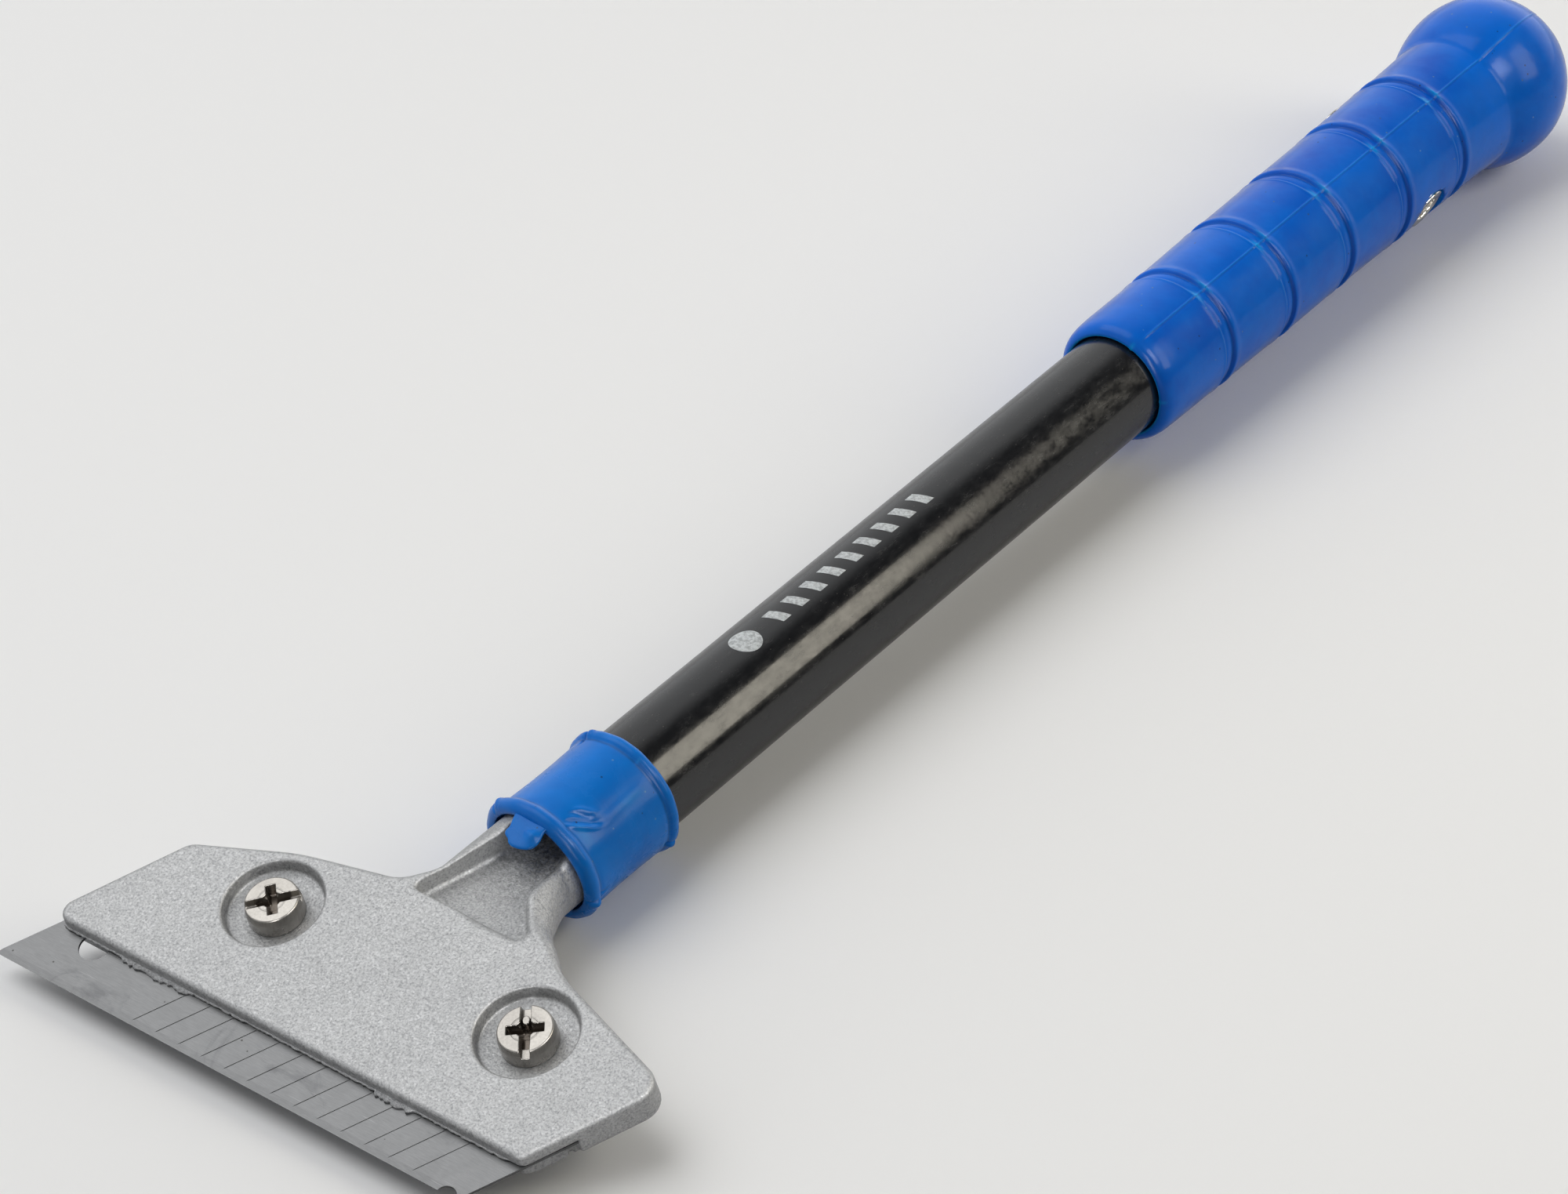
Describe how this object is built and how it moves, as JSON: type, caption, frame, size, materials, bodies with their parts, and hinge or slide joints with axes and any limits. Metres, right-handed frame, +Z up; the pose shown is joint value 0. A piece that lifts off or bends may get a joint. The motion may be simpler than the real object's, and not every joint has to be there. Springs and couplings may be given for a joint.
{
  "type": "algae scraper",
  "caption": "Hand scraper with a long parallelogram blade clamped by two screws in a bent cast head, on a tube handle with a rubber collar and a ball-ended rubber grip.",
  "frame": {"origin": "on the table plane, under the middle of the part's box", "axes": "+Z up from the table, +Y from the blade toward the ball of the grip, X along the cutting edge, screw heads facing up"},
  "size_m": [0.1162, 0.3798, 0.035],
  "materials": {
    "head_casting": "satin",
    "clamp_plate": "satin",
    "nut": "satin",
    "blade": "satin",
    "screw": "gloss",
    "neck_pin": "satin",
    "handle_tube": "gloss",
    "collar": "satin",
    "grip": "satin",
    "hang_eyelet": "satin"
  },
  "bodies": {
    "handle": {"head_casting": "head_casting", "neck_pin": "neck_pin", "handle_tube": "handle_tube", "collar": "collar", "grip": "grip", "hang_eyelet": "hang_eyelet"},
    "clamp": {"clamp_plate": "clamp_plate", "nut_left": "nut", "nut_right": "nut"},
    "blade": {"blade": "blade"},
    "screw_left": {"screw_left": "screw"},
    "screw_right": {"screw_right": "screw"}
  },
  "joints": [
    {"name": "screw_left_turn", "type": "hinge", "parent": "handle", "child": "screw_left", "pos_m": [-0.02047, -0.16231, 0.01433], "axis": [0, -0.2591, 0.9659], "range_deg": [0, 810]},
    {"name": "screw_right_turn", "type": "hinge", "parent": "handle", "child": "screw_right", "pos_m": [0.03353, -0.16231, 0.01433], "axis": [0, -0.2591, 0.9659], "range_deg": [0, 810]},
    {"name": "clamp_open", "type": "slide", "parent": "handle", "child": "clamp", "axis": [0, 0.2591, -0.9659], "range_m": [0, 0.00225]},
    {"name": "blade_slide", "type": "slide", "parent": "handle", "child": "blade", "axis": [0, -0.9659, -0.2591], "range_m": [0, 0.008]}
  ],
  "couplings": [
    {"joint": "screw_left_turn", "follows": "clamp_open", "rad_per_m": 6283.2},
    {"joint": "screw_right_turn", "follows": "clamp_open", "rad_per_m": 6283.2}
  ]
}
